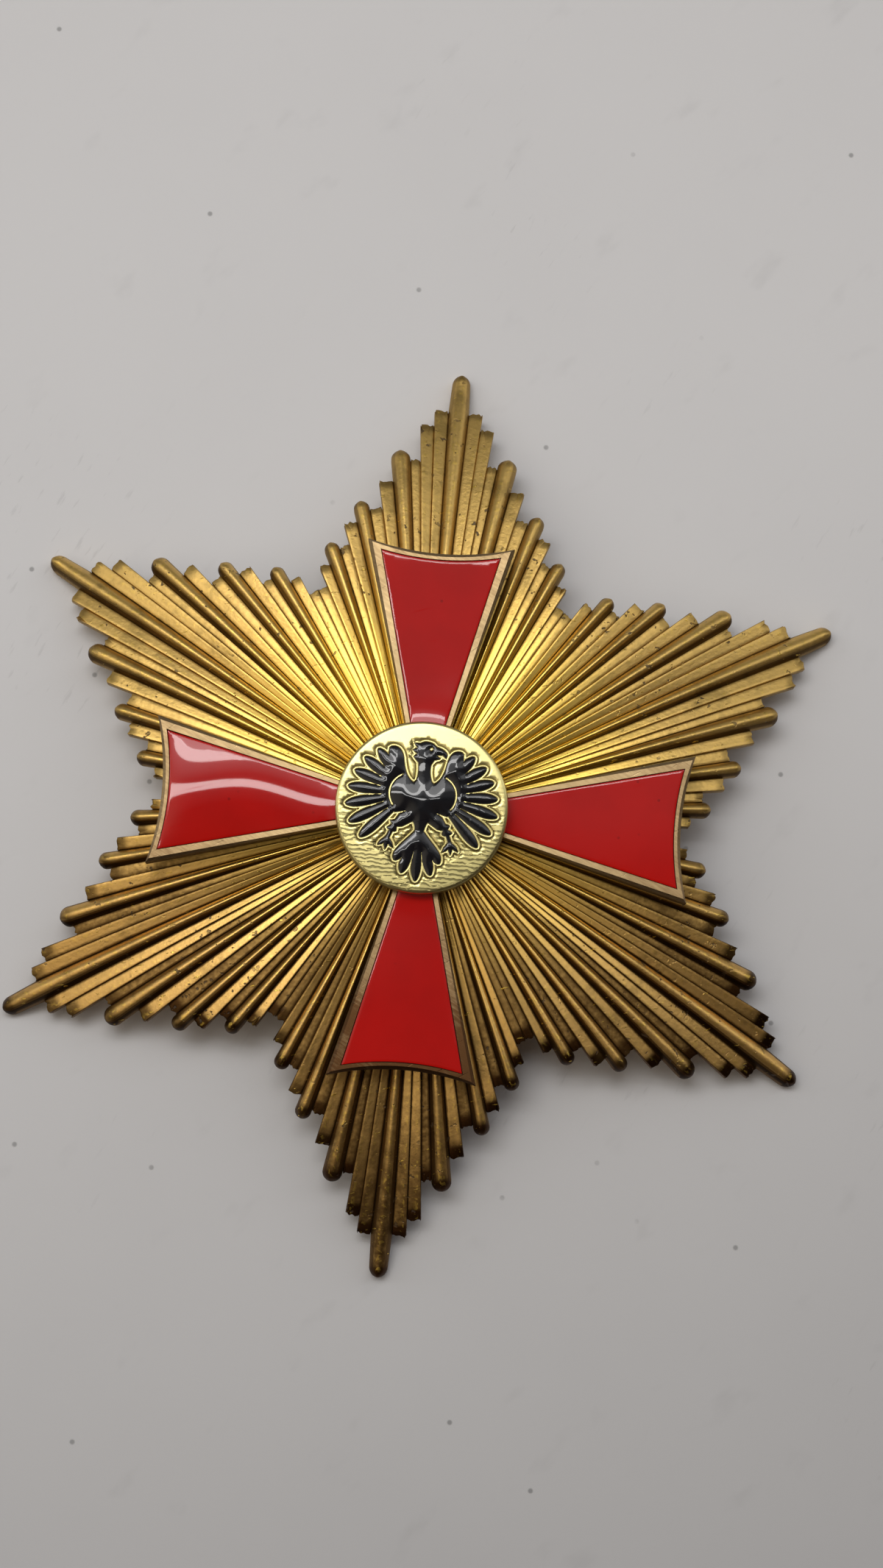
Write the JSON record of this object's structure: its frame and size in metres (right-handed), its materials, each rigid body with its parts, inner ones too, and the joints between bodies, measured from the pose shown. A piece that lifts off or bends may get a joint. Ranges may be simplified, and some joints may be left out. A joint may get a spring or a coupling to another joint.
{
  "type": "breast star",
  "caption": "Domed gilt star of straight rays with a red enamelled cross, a round eagle medallion and a brooch pin behind.",
  "frame": {"origin": "centre of the star, on the surface that its six tips rest on", "axes": "+Y from the centre to the star's top point, +X to the wearer's left, +Z out of the face"},
  "size_m": [0.0782, 0.09, 0.0119],
  "materials": {
    "aged_gilt": "gilt brass, satin, brighter in the middle, with dark patina in the grooves",
    "pale_gilt": "pale gilt, polished flat, with fine scratches",
    "red_enamel": "opaque red vitreous enamel, glossy",
    "bright_gilt": "bright gilt, finely stippled field with polished lines",
    "black_enamel": "black vitreous enamel, glossy",
    "pin_metal": "plain brass, dull"
  },
  "bodies": {
    "root": {"star": "aged_gilt", "cross_frame": "pale_gilt", "enamel_top": "red_enamel", "enamel_left": "red_enamel", "enamel_bottom": "red_enamel", "enamel_right": "red_enamel", "medallion": "bright_gilt", "eagle": "black_enamel", "pin": "pin_metal"}
  },
  "joints": []
}
